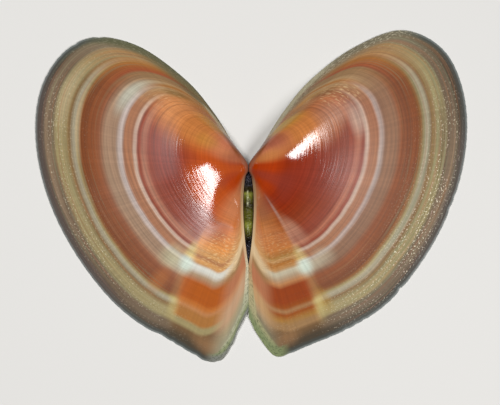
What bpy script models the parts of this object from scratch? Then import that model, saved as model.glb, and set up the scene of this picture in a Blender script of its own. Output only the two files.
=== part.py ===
"""A tellin shell: both valves spread flat like a butterfly, their outsides up.

Each valve is a thin dome that grows round its beak as an equiangular spiral. Its edge is the
outline below. An older edge is the same outline, shrunk towards the beak and turned up about
the hinge line. The ligament lies in the lens-shaped gap between the valves, behind the beaks.

X runs across the hinge, +X towards the right valve. Y runs along the hinge, +Y towards the
rounded front end. Z is up, and the valves rest on their flat rims at Z = 0. The origin is the
middle of the spread pair, on the surface that it rests on. Sizes are in millimetres.
"""

import math

import bmesh
import bpy
from mathutils import Vector
from mathutils.bvhtree import BVHTree

MM = 0.001

# Growth of the dome. SPIRAL is how fast a valve grows for each radian that it turns, and it
# alone sets how high the dome is for its width.
SPIRAL = 2.0
BEAK_SHARE = 0.02
HINGE_TO_AXIS = 0.35

# Older edges sit a little forward of plain shrunk copies: the drift depends on the bearing
# from the beak, in degrees from straight back, and is nothing at MIDDLE_BEARING.
MIDDLE_BEARING = 75.0
DRIFT = 0.0022
DRIFT_CURVE = 0.000016

# How finely the dome is drawn
PLAIN_RINGS = 16
RING_SPACING = 1.5
EDGE_POINTS = 54

# Thickness of the shell at its edge, at the hinge, and in the middle of the dome
EDGE_THICKNESS = 0.15
HINGE_THICKNESS = 0.42
HINGE_THICKNESS_REACH = 2.2
WALL_MIDDLE = 0.60
WALL_NEAR_EDGE = 0.34

# Flat rim below the edge, wider where it becomes the hinge plate
RIM_WIDTH = 0.55
PLATE_WIDTH = 1.70
PLATE_REACH = 5.5
INNER_RINGS = 7

# Gap between the valves: closed at the beaks and at the back, a lens round the ligament
CLOSED_HALF_GAP = 0.15
LENS_HALF_GAP = 0.60
LENS_LENGTH = 10.8
LENS_FRONT_POWER = 1.3
LENS_BACK_POWER = 2.0
LENS_FADE = 1.5

# Low relief: the ridge that runs from the beak to the back tip, and a ledge at each pause in
# growth, where the older shell ends in a low lip
RIDGE_BEARING = 11.5
RIDGE_WIDTH = 4.0
RIDGE_HEIGHT = 0.28
GROWTH_PAUSES = (0.30, 0.42, 0.557, 0.70, 0.82, 0.89, 0.95)
LEDGE_HEIGHT = 0.075
LEDGE_RISE = 0.035
LEDGE_DROP = 0.009

# The band that joins the valves
LIGAMENT_FRONT = 0.06
LIGAMENT_BACK = 0.90
LIGAMENT_CLEARANCE = 0.15
LIGAMENT_LEAST_HALF_WIDTH = 0.05
LIGAMENT_BOTTOM = 0.12
LIGAMENT_TOP = 0.86
LIGAMENT_END_TOP = 0.34
LIGAMENT_STATIONS = 36
LIGAMENT_SIDES = 8
LIGAMENT_FOLDS = 9
LIGAMENT_FOLD_DEPTH = 0.035

# Edge of each valve, from the back end of the hinge, round the open side, to the front of the
# hinge: distance out from the middle plane, and distance forward of the beak
LEFT_EDGE = (
    (0.35, -16.6), (1.45, -19.3), (3.40, -22.35), (5.30, -22.30), (8.30, -20.45),
    (11.85, -18.60), (15.30, -15.85), (18.55, -12.15), (21.00, -8.45), (22.70, -4.75),
    (23.90, -1.05), (24.55, 2.65), (24.55, 6.35), (23.65, 10.05), (20.75, 13.75),
    (17.20, 14.90), (12.30, 13.75), (7.20, 10.05), (4.10, 6.35), (1.75, 2.65), (0.35, 0.0),
)
RIGHT_EDGE = (
    (0.35, -17.4), (1.20, -19.5), (3.05, -21.85), (4.90, -21.45), (7.20, -20.45),
    (11.60, -18.60), (15.90, -15.85), (19.00, -12.15), (21.45, -8.45), (23.30, -4.75),
    (24.45, -1.05), (25.05, 2.65), (25.15, 6.35), (24.35, 10.05), (22.25, 13.75),
    (17.60, 15.70), (12.00, 13.75), (7.10, 10.05), (4.00, 6.35), (1.65, 2.65), (0.35, 0.0),
)
DOME_CENTRE = (10.5, 0.5)

LEFT_COLOUR = (0.52, 0.22, 0.12, 1.0)
RIGHT_COLOUR = (0.48, 0.18, 0.09, 1.0)
LIGAMENT_COLOUR = (0.14, 0.13, 0.03, 1.0)


def clear_scene():
    """Start from an empty scene."""
    for thing in list(bpy.data.objects):
        bpy.data.objects.remove(thing, do_unlink=True)


def curve_point(before, start, end, after, share):
    """A point on the smooth curve from start to end, with its neighbours on both sides."""
    square = share * share
    cube = square * share
    return (
        start * (1.0 - 2.5 * square + 1.5 * cube)
        + end * (0.5 * share + 2.0 * square - 1.5 * cube)
        + before * (-0.5 * share + square - 0.5 * cube)
        + after * (-0.5 * square + 0.5 * cube)
    )


def smooth_edge(corners, count):
    """Points at equal steps along the smooth curve through the corners."""
    knots = [Vector((out - HINGE_TO_AXIS, forward)) for out, forward in corners]
    first = knots[0] * 2.0 - knots[1]
    last = knots[-1] * 2.0 - knots[-2]
    knots = [first] + knots + [last]
    fine = []
    for index in range(1, len(knots) - 2):
        for step in range(24):
            fine.append(curve_point(*knots[index - 1:index + 3], step / 24.0))
    fine.append(knots[-2])
    lengths = [0.0]
    for here, there in zip(fine, fine[1:]):
        lengths.append(lengths[-1] + (there - here).length)
    points = []
    place = 0
    for step in range(count):
        target = lengths[-1] * step / (count - 1)
        while place < len(fine) - 2 and lengths[place + 1] < target:
            place += 1
        span = lengths[place + 1] - lengths[place]
        points.append(fine[place].lerp(fine[place + 1], (target - lengths[place]) / span))
    return points


def lens_share(forward):
    """How wide the gap behind the beaks is at a place along the hinge, from 0 to 1."""
    along = -forward / LENS_LENGTH
    if along <= 0.0 or along >= 1.0:
        return 0.0
    widest = LENS_FRONT_POWER / (LENS_FRONT_POWER + LENS_BACK_POWER)
    most = widest ** LENS_FRONT_POWER * (1.0 - widest) ** LENS_BACK_POWER
    return along ** LENS_FRONT_POWER * (1.0 - along) ** LENS_BACK_POWER / most


def half_gap(forward):
    """Distance from the middle plane to a valve's edge along the hinge."""
    return CLOSED_HALF_GAP + (LENS_HALF_GAP - CLOSED_HALF_GAP) * lens_share(forward)


def hinge_bend(out, forward):
    """How far the valve near the hinge is moved out, to give the gap its outline."""
    shift = half_gap(forward) - HINGE_TO_AXIS
    behind_beak = min(1.0, max(0.0, -forward))
    return shift * behind_beak * math.exp(-abs(out) / LENS_FADE)


def hinge_closeness(out, forward):
    """1 on the hinge line behind the beaks, falling to 0 away from it."""
    past_beak = max(0.0, forward)
    return math.exp(-(out * out + past_beak * past_beak) / HINGE_THICKNESS_REACH ** 2)


def growth_relief(share):
    """Height of the ledges at a growth share: a slow rise to each lip, then a quick drop."""
    height = 0.0
    for pause in GROWTH_PAUSES:
        if share <= pause:
            height += LEDGE_HEIGHT * math.exp((share - pause) / LEDGE_RISE)
    return height


def bearing_from_back(edge_point):
    """Bearing of an edge point from the beak, in degrees from straight back."""
    return math.degrees(math.atan2(edge_point.x, -edge_point.y))


def ridge_relief(edge_point, share):
    """Height of the ridge that runs from the beak to the back tip."""
    across = (bearing_from_back(edge_point) - RIDGE_BEARING) / RIDGE_WIDTH
    return RIDGE_HEIGHT * math.exp(-across * across) * share * min(1.0, (1.0 - share) * 8.0)


def way_out(edge_point, share):
    """How far out towards an edge point, from 0 to 1, the shell of a growth share reaches."""
    ahead = MIDDLE_BEARING - bearing_from_back(edge_point)
    drift = DRIFT * ahead + DRIFT_CURVE * ahead * ahead
    return share * (1.0 - drift * (1.0 - share))


def outside_point(edge_point, share):
    """The point on the outside of a valve that was its edge at a growth share."""
    reach = way_out(edge_point, share)
    turn = -math.log(reach) / SPIRAL
    out = edge_point.x * reach * math.cos(turn)
    forward = edge_point.y * reach
    rise = max(0.0, edge_point.x) * reach * math.sin(turn)
    thickness = EDGE_THICKNESS
    thickness += (HINGE_THICKNESS - EDGE_THICKNESS) * hinge_closeness(out, forward)
    dome = min(1.0, max(0.0, edge_point.x) / 3.0)
    rise += dome * (growth_relief(share) + ridge_relief(edge_point, share))
    return Vector((out + hinge_bend(out, forward), forward, rise + thickness))


def ring_shares():
    """Growth shares at which the dome has rings of points, two of them at each ledge."""
    ledges = [share for pause in GROWTH_PAUSES for share in (pause, pause + LEDGE_DROP)]
    shares = []
    for ring in range(PLAIN_RINGS + 1):
        share = BEAK_SHARE + (1.0 - BEAK_SHARE) * (ring / PLAIN_RINGS) ** RING_SPACING
        if all(abs(share - ledge) > LEDGE_DROP for ledge in ledges):
            shares.append(share)
    return sorted(shares + ledges)


def add_outside(mesh, edge_points):
    """The domed outside of a valve, closed at the beak. Returns its edge, beak first."""
    shares = ring_shares()
    rows = []
    for edge_point in edge_points[:-1]:
        rows.append([mesh.verts.new(outside_point(edge_point, share)) for share in shares])
    beak_end = mesh.verts.new(outside_point(edge_points[-1], 1.0))
    for row, next_row in zip(rows, rows[1:]):
        for ring in range(len(shares) - 1):
            mesh.faces.new((row[ring], row[ring + 1], next_row[ring + 1], next_row[ring]))
    for ring in range(len(shares) - 1):
        mesh.faces.new((rows[-1][ring], rows[-1][ring + 1], beak_end))
    tip_ring = [row[0] for row in rows]
    middle = tip_ring[len(tip_ring) // 2].co
    tip = mesh.verts.new((tip_ring[0].co + beak_end.co + middle * 2.0) / 4.0)
    tip_ring.append(beak_end)
    for here, there in zip(tip_ring, tip_ring[1:]):
        mesh.faces.new((here, there, tip))
    mesh.faces.new((tip_ring[-1], tip_ring[0], tip))
    hinge_row = rows[0][:-1]
    return hinge_row + [row[-1] for row in rows] + [beak_end]


def rim_width(point):
    """Width of the flat rim at a place on the edge, wider at the hinge plate."""
    near_beak = math.exp(-(point.xy.length / PLATE_REACH) ** 2)
    return RIM_WIDTH + (PLATE_WIDTH - RIM_WIDTH) * near_beak


def wall_below(outside, place, wall):
    """The highest point below a place on the dome that leaves the wall its thickness."""
    top = outside.ray_cast(Vector((place.x, place.y, 50.0)), Vector((0.0, 0.0, -1.0)))[0]
    if top is None:
        return 0.0
    height = top.z - wall
    for _ in range(12):
        nearest, _, _, distance = outside.find_nearest(Vector((place.x, place.y, height)))
        if height <= 0.0 or distance >= wall:
            break
        height -= wall - distance + 0.01
    return max(0.0, height)


def add_inside(mesh, outside, loop):
    """The flat rim and the hollow inside of a valve, from the bottom of its edge inwards."""
    centre = Vector((DOME_CENTRE[0], DOME_CENTRE[1], 0.0))
    rim = []
    for vert in loop:
        inwards = (centre - vert.co).normalized()
        rim.append(vert.co + inwards * rim_width(vert.co))
    previous = loop
    for ring in range(INNER_RINGS):
        reach = 1.0 - (ring / INNER_RINGS) ** 1.5
        row = []
        for start in rim:
            place = centre + (start - centre) * reach
            if ring > 0:
                wall = WALL_MIDDLE + (WALL_NEAR_EDGE - WALL_MIDDLE) * reach ** 3
                place.z = wall_below(outside, place, wall)
            row.append(mesh.verts.new(place))
        count = len(row)
        for index in range(count):
            after = (index + 1) % count
            mesh.faces.new((previous[index], row[index], row[after], previous[after]))
        previous = row
    centre.z = wall_below(outside, centre, WALL_MIDDLE)
    middle = mesh.verts.new(centre)
    for index, vert in enumerate(previous):
        mesh.faces.new((vert, middle, previous[(index + 1) % len(previous)]))


def valve_mesh(name, corners):
    """One valve as a closed mesh, with its hinge along Y and its dome towards +X."""
    shell = bmesh.new()
    edge = add_outside(shell, smooth_edge(corners, EDGE_POINTS))
    outside = BVHTree.FromBMesh(shell)
    bottom = [shell.verts.new((vert.co.x, vert.co.y, 0.0)) for vert in edge]
    count = len(edge)
    for index in range(count):
        after = (index + 1) % count
        shell.faces.new((edge[index], bottom[index], bottom[after], edge[after]))
    add_inside(shell, outside, bottom)
    bmesh.ops.recalc_face_normals(shell, faces=shell.faces)
    bmesh.ops.triangulate(shell, faces=shell.faces)
    mesh = bpy.data.meshes.new(name)
    shell.to_mesh(mesh)
    shell.free()
    return mesh


def ligament_section(along):
    """Half width and top of the ligament at a share of the way back along its gap."""
    forward = -along * LENS_LENGTH
    half_width = max(LIGAMENT_LEAST_HALF_WIDTH, half_gap(forward) - LIGAMENT_CLEARANCE)
    fullness = half_width / (LENS_HALF_GAP - LIGAMENT_CLEARANCE)
    fold = LIGAMENT_FOLD_DEPTH * math.cos(2.0 * math.pi * LIGAMENT_FOLDS * along)
    top = LIGAMENT_END_TOP + (LIGAMENT_TOP - LIGAMENT_END_TOP) * fullness + fold * fullness
    return forward, half_width, top


def ligament_mesh(name):
    """The ligament as a low rounded band, arched along its length."""
    band = bmesh.new()
    rows = []
    for station in range(LIGAMENT_STATIONS):
        step = station / (LIGAMENT_STATIONS - 1)
        along = LIGAMENT_FRONT + (LIGAMENT_BACK - LIGAMENT_FRONT) * step
        forward, half_width, top = ligament_section(along)
        middle = (LIGAMENT_BOTTOM + top) / 2.0
        row = []
        for side in range(LIGAMENT_SIDES):
            angle = 2.0 * math.pi * (side + 0.5) / LIGAMENT_SIDES
            across = half_width * math.sin(angle)
            height = middle + (top - middle) * math.cos(angle)
            row.append(band.verts.new((across, forward, height)))
        rows.append(row)
    for row, next_row in zip(rows, rows[1:]):
        for side in range(LIGAMENT_SIDES):
            after = (side + 1) % LIGAMENT_SIDES
            band.faces.new((row[side], row[after], next_row[after], next_row[side]))
    band.faces.new(rows[0])
    band.faces.new(rows[-1])
    bmesh.ops.recalc_face_normals(band, faces=band.faces)
    bmesh.ops.triangulate(band, faces=band.faces)
    mesh = bpy.data.meshes.new(name)
    band.to_mesh(mesh)
    band.free()
    return mesh


def plain_material(name, colour, roughness):
    """A plain material of the piece's main colour."""
    material = bpy.data.materials.new(name)
    material.use_nodes = True
    shader = material.node_tree.nodes["Principled BSDF"]
    shader.inputs["Base Color"].default_value = colour
    shader.inputs["Roughness"].default_value = roughness
    shader.inputs["Metallic"].default_value = 0.0
    return material


def place(name, mesh, transform, material):
    """Add a mesh in metres as a named object, its origin at the beaks."""
    for vert in mesh.vertices:
        vert.co = transform(vert.co) * MM
    mesh.materials.append(material)
    mesh.shade_smooth()
    mesh.set_sharp_from_angle(angle=math.radians(50.0))
    thing = bpy.data.objects.new(name, mesh)
    bpy.context.collection.objects.link(thing)
    return thing


def spread_centre():
    """Middle of the spread pair, measured from the point between the beaks."""
    left = smooth_edge(LEFT_EDGE, 400)
    right = smooth_edge(RIGHT_EDGE, 400)
    reach_left = max(point.x for point in left) + HINGE_TO_AXIS
    reach_right = max(point.x for point in right) + HINGE_TO_AXIS
    front = max(point.y for point in left + right)
    back = min(point.y for point in left + right)
    return Vector(((reach_right - reach_left) / 2.0, (front + back) / 2.0, 0.0))


def main():
    """Build the two valves and the ligament."""
    clear_scene()
    between_beaks = bpy.data.objects.new("between_beaks", None)
    bpy.context.collection.objects.link(between_beaks)
    between_beaks.location = spread_centre() * -MM

    def to_left(point):
        return Vector((-point.x - HINGE_TO_AXIS, point.y, point.z))

    def to_right(point):
        return Vector((point.x + HINGE_TO_AXIS, point.y, point.z))

    left_mesh = valve_mesh("left_valve", LEFT_EDGE)
    right_mesh = valve_mesh("right_valve", RIGHT_EDGE)
    left_mesh.flip_normals()
    pieces = (
        ("left_valve", left_mesh, to_left, plain_material("left_shell", LEFT_COLOUR, 0.25)),
        ("right_valve", right_mesh, to_right, plain_material("right_shell", RIGHT_COLOUR, 0.25)),
        ("ligament", ligament_mesh("ligament"), Vector.copy,
         plain_material("ligament_horn", LIGAMENT_COLOUR, 0.3)),
    )
    for name, mesh, transform, material in pieces:
        thing = place(name, mesh, transform, material)
        thing.parent = between_beaks


main()
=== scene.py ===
"""Looks of a tellin shell: two banded valves spread flat, and the horny ligament between them.

Each valve is drawn as it grows. Every older edge is the outline shrunk towards the beak and
turned up about the hinge line. So a point has a growth share, from 0 at the beak to 1 at the
edge, and a bearing from the beak, from straight back round the open side to the front. Shape,
relief and colour are made from those two and from the distance to the rim.
"""

import math

import bpy
import numpy as np
from mathutils import Matrix, Vector
from mathutils.bvhtree import BVHTree


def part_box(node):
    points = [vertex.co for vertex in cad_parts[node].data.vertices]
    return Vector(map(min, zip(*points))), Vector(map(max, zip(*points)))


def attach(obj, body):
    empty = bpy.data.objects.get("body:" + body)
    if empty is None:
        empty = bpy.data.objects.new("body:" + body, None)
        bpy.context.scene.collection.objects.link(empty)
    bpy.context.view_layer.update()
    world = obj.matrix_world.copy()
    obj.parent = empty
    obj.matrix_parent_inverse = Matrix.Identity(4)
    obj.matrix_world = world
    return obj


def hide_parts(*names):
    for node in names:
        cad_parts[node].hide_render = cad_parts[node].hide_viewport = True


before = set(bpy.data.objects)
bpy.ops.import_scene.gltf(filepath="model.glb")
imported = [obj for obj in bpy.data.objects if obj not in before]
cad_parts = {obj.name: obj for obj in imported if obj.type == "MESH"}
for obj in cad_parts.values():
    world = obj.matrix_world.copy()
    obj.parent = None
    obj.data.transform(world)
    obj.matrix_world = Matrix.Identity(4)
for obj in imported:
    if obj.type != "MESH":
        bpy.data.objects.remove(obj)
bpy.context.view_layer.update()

MM = 0.001
SEED = 11

# Where the frame puts the point between the beaks
LIGAMENT_SETBACK = 0.648
left_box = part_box("left_valve")
right_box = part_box("right_valve")
ligament_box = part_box("ligament")
MIDDLE_X = (left_box[1][0] + right_box[0][0]) / 2.0 / MM
BEAK_Y = ligament_box[1][1] / MM + LIGAMENT_SETBACK

# Growth of the dome, in millimetres and degrees
SPIRAL = 2.0
BEAK_SHARE = 0.02
HINGE_TO_AXIS = 0.22
MIDDLE_BEARING = 75.0
DRIFT = 0.0022
DRIFT_CURVE = 0.000016

# How finely a valve is drawn, and the angle in degrees from which its edges look sharp
EDGE_POINTS = 344
EVENING = 2.2
GROWTH_RINGS = 228
RING_SPACING = 1.15
PLATE_RINGS = 8
INNER_RINGS = 24
SHARP_ANGLE = 55.0

# Thickness of the shell
EDGE_THICKNESS = 0.13
HINGE_THICKNESS = 0.42
HINGE_THICKNESS_REACH = 2.2
WALL_MIDDLE = 0.6
WALL_NEAR_EDGE = 0.32
RIM_WIDTH = 0.5
PLATE_WIDTH = 1.7
PLATE_REACH = 5.5
DOME_CENTRE = (10.5, 0.5)

# Gap between the valves
CLOSED_HALF_GAP = 0.006
LENS_HALF_GAP = 0.62
LENS_START = 0.5
LENS_END = 11.3
LENS_FRONT_POWER = 0.55
LENS_BACK_POWER = 0.95
LENS_FADE = 1.5

# Relief of the outside
RIDGE_BEARING = 11.5
RIDGE_WIDTH = 4.0
RIDGE_HEIGHT = 0.3
GROWTH_PAUSES = (0.30, 0.42, 0.557, 0.70, 0.82, 0.89, 0.95)
LEDGE_HEIGHT = 0.036
LEDGE_RISE = 0.035
LINE_HEIGHT = 0.011
LINE_COUNT = 66
FIRST_LINE = 0.1
RAGGED = 0.0012

# Relief of the inside: sockets in the hinge plate, and the scars of the two closing muscles
SOCKETS = ((58.0, 0.55, 1.75), (96.0, 0.55, 1.65), (18.0, 0.9, 3.2))
SOCKET_WIDTH = 0.16
SOCKET_DEPTH = 0.2
SCARS = ((14.2, 9.2, 3.4, 2.4), (6.6, -14.2, 2.1, 3.3))
SCAR_DEPTH = 0.07

# The ligament, in shares of the gap behind the beaks and in millimetres
LIGAMENT_FRONT = 0.052
LIGAMENT_BACK = 0.985
LIGAMENT_STATIONS = 170
LIGAMENT_SIDES = 40
LIGAMENT_TOP = 0.8
LIGAMENT_END_TOP = 0.3
LIGAMENT_BOTTOM = 0.1
LIGAMENT_OVERLAP = 0.01
WRINKLE_COUNT = 19
WRINKLE_HEIGHT = 0.065
WRINKLE_WIDTH = 0.007

# Edges: distance out from the middle plane, and distance forward of the beak
LEFT_EDGE = (
    (0.22, -16.6), (1.35, -19.1), (2.02, -20.75), (3.3, -22.4), (5.3, -22.32),
    (8.32, -20.5), (11.88, -18.68), (15.4, -15.96), (18.58, -12.18), (21.0, -8.45),
    (22.79, -4.77), (24.0, -1.05), (24.63, 2.65), (24.63, 6.37), (23.73, 10.1),
    (20.92, 13.9), (17.27, 15.06), (12.33, 13.79), (7.23, 10.07), (4.1, 6.4),
    (1.75, 2.68), (0.22, 0.0),
)
RIGHT_EDGE = (
    (0.22, -17.4), (1.2, -19.5), (3.05, -21.85), (4.93, -21.5), (7.24, -20.53),
    (11.65, -18.7), (15.97, -15.95), (19.14, -12.26), (21.6, -8.52), (23.37, -4.76),
    (24.6, -1.06), (25.23, 2.65), (25.28, 6.36), (24.51, 10.12), (22.42, 13.96),
    (17.7, 15.84), (12.03, 13.74), (7.14, 10.05), (4.03, 6.38), (1.68, 2.66), (0.22, 0.0),
)

# Chips in the edges: bearing, half width in degrees, and share of the growth that is missing
LEFT_CHIPS = (
    (27.0, 2.0, 0.008), (23.0, 0.7, 0.004), (15.2, 1.0, 0.006), (8.6, 0.6, 0.003),
    (5.2, 0.4, 0.006), (3.4, 0.3, 0.006), (131.3, 0.45, 0.007), (125.5, 0.5, 0.006),
)
RIGHT_CHIPS = (
    (50.8, 0.8, 0.009), (36.8, 0.5, 0.004), (34.0, 0.7, 0.004), (30.5, 0.5, 0.003),
    (78.3, 0.8, 0.007), (81.6, 0.5, 0.004),
)

# Colours of the shell and the horn, from 0 to 255
COLOURS = dict(
    rust=(168, 70, 20), henna=(158, 50, 2), blood=(130, 38, 6), brick=(126, 52, 25),
    maroon=(124, 51, 26), mauve=(120, 52, 44), rose=(152, 98, 75), blush=(177, 150, 132),
    salmon=(144, 94, 63), opal=(168, 152, 144), taupe=(142, 112, 88),
    dark_taupe=(124, 87, 62), cedar=(130, 76, 46), russet=(122, 64, 28), walnut=(107, 52, 8),
    amber=(122, 76, 27), ivory=(148, 138, 114), clay=(112, 82, 42), khaki=(140, 126, 86),
    dun=(98, 80, 60), stone=(122, 106, 84), loam=(62, 52, 38), edge_grey=(58, 61, 57),
    edge_plum=(80, 66, 60), dorsal_light=(172, 164, 134), rim_brown=(110, 56, 16),
    honey=(170, 98, 34), mustard=(168, 132, 44), slope_salmon=(168, 118, 82),
    slope_pink=(168, 134, 104), slope_grey=(148, 132, 102), slope_edge=(136, 130, 106),
    dusty=(108, 90, 62), fox=(146, 106, 68), sand=(180, 158, 124), strip_pale=(188, 180, 152),
    strip_green=(158, 158, 130), strip_olive=(158, 150, 112), edge_light=(116, 122, 120),
    peach=(184, 114, 74), orange=(186, 104, 48), tangerine=(198, 126, 58), gold=(182, 131, 76),
    brass=(150, 98, 44), bronze=(146, 104, 46), cream=(190, 164, 126), white=(190, 188, 178),
    chalk=(170, 160, 136), ash=(156, 130, 102), dusk=(164, 110, 66), vivid_rust=(154, 74, 4),
    dark_rust=(128, 50, 0), tan=(168, 98, 38), umber=(132, 64, 8), bark=(102, 75, 45),
    coral=(170, 106, 68), fawn=(164, 132, 92), moss_grey=(116, 106, 82), moss_deep=(84, 84, 52),
    sage=(106, 111, 86), grey=(108, 110, 106), rust_line=(146, 98, 62),
    green_line=(124, 130, 98), ochre=(152, 96, 34), wheat=(164, 122, 74), hay=(138, 105, 68),
    chestnut=(148, 70, 34), copper=(180, 110, 56), shrimp=(182, 108, 76), apricot=(190, 122, 70),
    lichen=(114, 124, 84), fir=(56, 66, 40), olive=(164, 126, 34),
    dark_olive=(104, 78, 30), mint=(186, 188, 150), straw=(196, 178, 112),
    frost=(190, 204, 190), lilac=(158, 138, 128), rosy_brick=(150, 86, 60),
    # Colours of painted highlights: glints and sparkles laid into the shell's colour
    pink_glint=(232, 184, 180), cream_glint=(240, 230, 200), straw_glint=(236, 208, 156),
    peach_gold=(180, 116, 62), slope_rose=(157, 99, 66), slope_brown=(136, 102, 62),
    slope_fawn=(166, 130, 90), slope_ochre=(150, 125, 94), petal=(172, 128, 104),
    horn=(72, 72, 18), pale_horn=(112, 116, 46), dark_horn=(34, 29, 9), jet=(7, 5, 7),
    grey_speck=(150, 146, 166), inner_rose=(206, 128, 104), inner_pink=(222, 176, 156),
    inner_white=(226, 216, 204), inner_edge=(190, 188, 178),
)

# Bands by growth, or along the horn: a colour and where it is reached, or starts and ends
LEFT_FLANK = (
    ("rust", 0.0, 0.33), ("brick", 0.38), ("maroon", 0.49), ("rose", 0.509, 0.519),
    ("brick", 0.53, 0.538), ("blush", 0.547, 0.554), ("salmon", 0.563, 0.597),
    ("opal", 0.608, 0.619), ("taupe", 0.634, 0.682), ("cedar", 0.706), ("russet", 0.725),
    ("walnut", 0.785), ("amber", 0.795), ("khaki", 0.806), ("ivory", 0.813, 0.822),
    ("clay", 0.837), ("khaki", 0.86, 0.896), ("dun", 0.915, 0.943), ("loam", 0.963, 1.0),
)
RIGHT_FLANK = (
    ("henna", 0.0, 0.17), ("blood", 0.23, 0.3), ("brick", 0.4), ("maroon", 0.49),
    ("rosy_brick", 0.507, 0.519), ("brick", 0.528, 0.535), ("blush", 0.546, 0.552),
    ("salmon", 0.562, 0.595), ("lilac", 0.604, 0.613), ("dark_taupe", 0.627, 0.676),
    ("russet", 0.7), ("walnut", 0.77), ("amber", 0.784), ("khaki", 0.797), ("ivory", 0.807, 0.819),
    ("clay", 0.834), ("khaki", 0.858, 0.892), ("dun", 0.908, 0.94), ("loam", 0.96, 1.0),
)
LEFT_BACK = (
    ("peach", 0.0, 0.3), ("orange", 0.38), ("tangerine", 0.5), ("gold", 0.54, 0.555),
    ("dusk", 0.567, 0.574), ("gold", 0.588, 0.603), ("white", 0.616, 0.634), ("ash", 0.66),
    ("vivid_rust", 0.698, 0.775), ("tan", 0.8), ("dusk", 0.818), ("brass", 0.835, 0.872),
    ("khaki", 0.888, 0.905), ("bark", 0.92), ("loam", 0.965, 1.0),
)
RIGHT_BACK = (
    ("coral", 0.0, 0.16), ("dusk", 0.3), ("tan", 0.4, 0.5), ("ochre", 0.538), ("bronze", 0.552),
    ("wheat", 0.566), ("ochre", 0.58, 0.59), ("wheat", 0.612), ("chalk", 0.626, 0.636),
    ("ash", 0.66), ("dusk", 0.685), ("dark_rust", 0.707, 0.775), ("umber", 0.8),
    ("fox", 0.818), ("umber", 0.835), ("bronze", 0.865), ("hay", 0.885, 0.902), ("bark", 0.918),
    ("loam", 0.96, 1.0),
)
SLOPE_START = (
    ("coral", 0.0, 0.2), ("peach", 0.4), ("gold", 0.56), ("cream", 0.6, 0.64),
    ("slope_brown", 0.675),
)
LEFT_SLOPE = SLOPE_START + (
    ("slope_rose", 0.72, 0.77), ("slope_salmon", 0.81), ("slope_pink", 0.86, 0.91),
    ("slope_grey", 0.96), ("slope_edge", 1.0),
)
RIGHT_SLOPE = SLOPE_START + (
    ("slope_rose", 0.72, 0.79), ("slope_fawn", 0.84, 0.88), ("slope_ochre", 0.92),
    ("moss_grey", 0.955), ("sage", 1.0),
)
FRONT = (
    ("rust", 0.0), ("chestnut", 0.06), ("shrimp", 0.12, 0.19), ("copper", 0.27, 0.36),
    ("apricot", 0.44, 0.5), ("wheat", 0.56), ("fawn", 0.585), ("ochre", 0.61), ("fawn", 0.635),
    ("hay", 0.66, 0.71), ("chestnut", 0.725), ("ochre", 0.79), ("wheat", 0.825), ("hay", 0.86),
    ("wheat", 0.885), ("stone", 0.92), ("moss_grey", 0.96), ("sage", 1.0),
)
RAY = (
    ("lilac", 0.0, 0.3), ("petal", 0.38, 0.5), ("straw", 0.54, 0.585), ("frost", 0.605, 0.655),
    ("wheat", 0.7, 0.79), ("straw", 0.81, 0.86), ("wheat", 1.0),
)
INSIDE = (
    ("inner_rose", 0.0, 0.3), ("inner_pink", 0.46), ("inner_white", 0.55), ("inner_pink", 0.62),
    ("inner_rose", 0.72), ("inner_white", 0.8), ("inner_pink", 0.9), ("inner_edge", 0.96, 1.0),
)
HORN = (
    ("jet", 0.0, 0.14), ("dark_horn", 0.17, 0.21), ("pale_horn", 0.235), ("horn", 0.29),
    ("dark_horn", 0.36), ("horn", 0.44, 0.53), ("pale_horn", 0.58), ("horn", 0.65),
    ("dark_horn", 0.715), ("jet", 0.75, 1.0),
)

# Smudges of colour: growth share and bearing, their reaches, the colour, and how strong it is
LEFT_SMUDGES = (
    (0.14, 55, 0.09, 34, "henna", 0.75), (0.22, 146, 0.26, 16, "umber", 0.8),
    (0.15, 137, 0.06, 9, "henna", 0.6), (0.12, 116, 0.05, 15, "rose", 0.5),
    (0.24, 117, 0.08, 12, "olive", 0.3), (0.5, 140, 0.2, 10, "ochre", 0.7),
    (0.55, 135, 0.05, 5.5, "dark_olive", 0.6), (0.39, 86, 0.1, 26, "mauve", 0.6),
    (0.655, 36, 0.05, 8, "chalk", 0.7), (0.635, 41, 0.09, 8, "mint", 0.4),
    (0.77, 38, 0.1, 5, "tan", 0.4), (0.945, 95, 0.035, 45, "ash", 0.4),
    (0.13, 109, 0.12, 16, "peach", 0.85), (0.26, 142, 0.2, 10, "umber", 0.9),
    (0.63, 122, 0.045, 14, "frost", 0.45), (0.49, 46, 0.04, 11, "rose", 0.6),
    (0.795, 104, 0.018, 18, "sand", 0.6), (0.875, 112, 0.045, 15, "sand", 0.5),
    (0.935, 11, 0.055, 9, "fox", 0.6), (0.32, 139, 0.13, 11, "mustard", 0.45),
)
RIGHT_SMUDGES = (
    (0.14, 60, 0.1, 40, "henna", 0.6), (0.38, 84, 0.12, 34, "mauve", 0.6),
    (0.44, 122, 0.1, 11, "blush", 0.35), (0.16, 146, 0.2, 20, "honey", 0.6),
    (0.38, 138.5, 0.26, 7, "olive", 0.75), (0.5, 145, 0.25, 7, "ochre", 0.7),
    (0.52, 134, 0.06, 6, "dark_olive", 0.6), (0.64, 33, 0.05, 9, "chalk", 0.7),
    (0.63, 40, 0.07, 8, "chalk", 0.5), (0.82, 29, 0.1, 4, "olive", 0.4),
    (0.945, 82, 0.035, 35, "ash", 0.4), (0.14, 109, 0.13, 16, "peach_gold", 0.75),
    (0.52, 114, 0.05, 13, "blush", 0.7), (0.44, 37, 0.13, 8, "petal", 0.6),
    (0.885, 99, 0.035, 15, "dusty", 0.65), (0.935, 11, 0.05, 8, "fox", 0.5),
    (0.875, 15, 0.03, 9, "slope_brown", 0.5), (0.17, 149, 0.12, 12, "honey", 0.5),
    (0.31, 138, 0.14, 12, "mustard", 0.65),
)

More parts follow.
